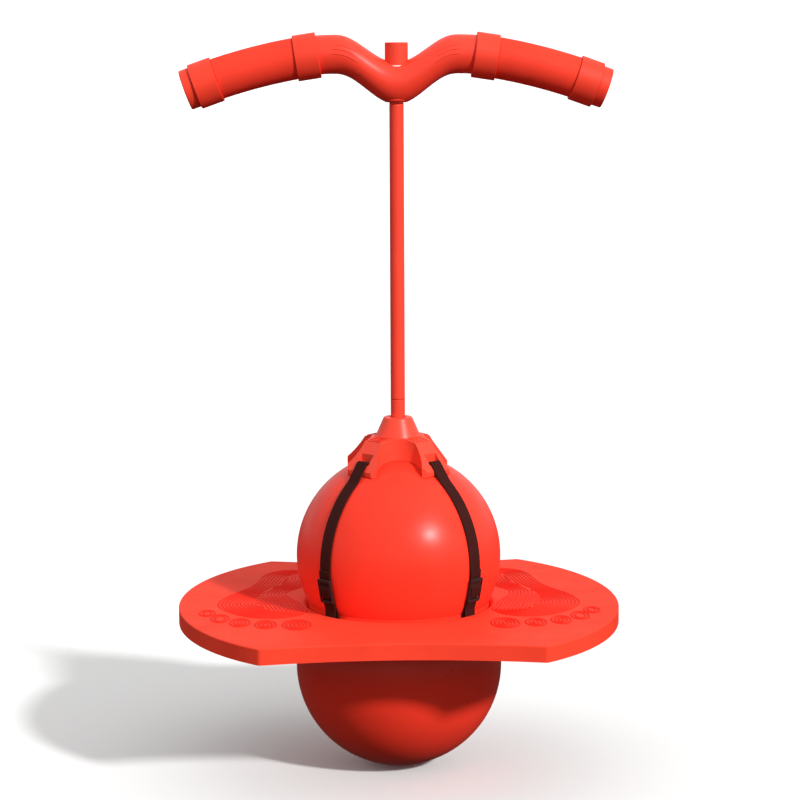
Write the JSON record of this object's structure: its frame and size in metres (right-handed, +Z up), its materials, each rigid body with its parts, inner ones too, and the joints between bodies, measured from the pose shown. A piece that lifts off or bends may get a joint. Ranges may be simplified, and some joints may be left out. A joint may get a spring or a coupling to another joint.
{
  "type": "jumping ball with handlebar",
  "caption": "Two-lobed jumping ball through a foot deck, with a strapped cap, an upright elastic pull cord and a gull-wing handlebar.",
  "frame": {"origin": "the point where the lower lobe of the ball touches the ground, under the middle of the whole object", "axes": "+Z up along the pull cord, +X along the handlebar, -Y the front that faces the viewer"},
  "size_m": [0.465, 0.4112, 0.7731],
  "materials": {
    "ball_skin": "soft satin vinyl",
    "deck_plastic": "fine moulded grain",
    "cap_plastic": "satin moulded",
    "bar_plastic": "satin moulded",
    "grip_foam": "fine textured grip",
    "collar_plastic": "satin moulded",
    "cord_rubber": "smooth elastic rubber",
    "webbing": "woven polypropylene",
    "buckle_plastic": "moulded acetal",
    "pin_steel": "zinc plated",
    "washer_nylon": "natural nylon",
    "valve_rubber": "smooth"
  },
  "bodies": {
    "ball_and_deck": {"ball": "ball_skin", "valve_seat": "valve_rubber", "deck": "deck_plastic", "strap_pins": "pin_steel", "cap": "cap_plastic", "strap_front_left": "webbing", "strap_front_right": "webbing", "strap_back_right": "webbing", "strap_back_left": "webbing", "buckle_front_left": "buckle_plastic", "buckle_front_right": "buckle_plastic", "buckle_back_right": "buckle_plastic", "buckle_back_left": "buckle_plastic"},
    "valve_stopper": {"valve_plug": "valve_rubber"},
    "cord_root": {"cord_foot": "cord_rubber", "foot_washer": "washer_nylon"},
    "cord": {"pull_cord": "cord_rubber"},
    "cord_end": {"cord_head": "cord_rubber", "head_washer": "washer_nylon", "head_stopper": "cord_rubber"},
    "handle": {"handlebar": "bar_plastic", "bar_bushing": "washer_nylon", "left_grip": "grip_foam", "left_inner_collar": "collar_plastic", "left_outer_collar": "collar_plastic", "left_end_cap": "collar_plastic", "right_grip": "grip_foam", "right_inner_collar": "collar_plastic", "right_outer_collar": "collar_plastic", "right_end_cap": "collar_plastic"}
  },
  "joints": [
    {"name": "valve_pull", "type": "slide", "parent": "ball_and_deck", "child": "valve_stopper", "axis": [0, 0.848, 0.5299], "range_m": [0, 0.014]},
    {"name": "cord_turn", "type": "hinge", "parent": "ball_and_deck", "child": "cord_root", "pos_m": [0, 0, 0.345], "axis": [0, 0, 1], "continuous": true},
    {"name": "cord_lean", "type": "hinge", "parent": "cord_root", "child": "cord", "pos_m": [0, 0, 0.3736], "axis": [1, 0, 0], "range_deg": [-30, 30], "stiffness_Nm_per_rad": 12},
    {"name": "cord_stretch", "type": "slide", "parent": "cord", "child": "cord_end", "axis": [0, 0, 1], "range_m": [0, 0.08], "stiffness_N_per_m": 700, "deforming": ["pull_cord"]},
    {"name": "handle_turn", "type": "hinge", "parent": "cord_end", "child": "handle", "pos_m": [0, 0, 0.72], "axis": [0, 0, 1], "continuous": true}
  ]
}
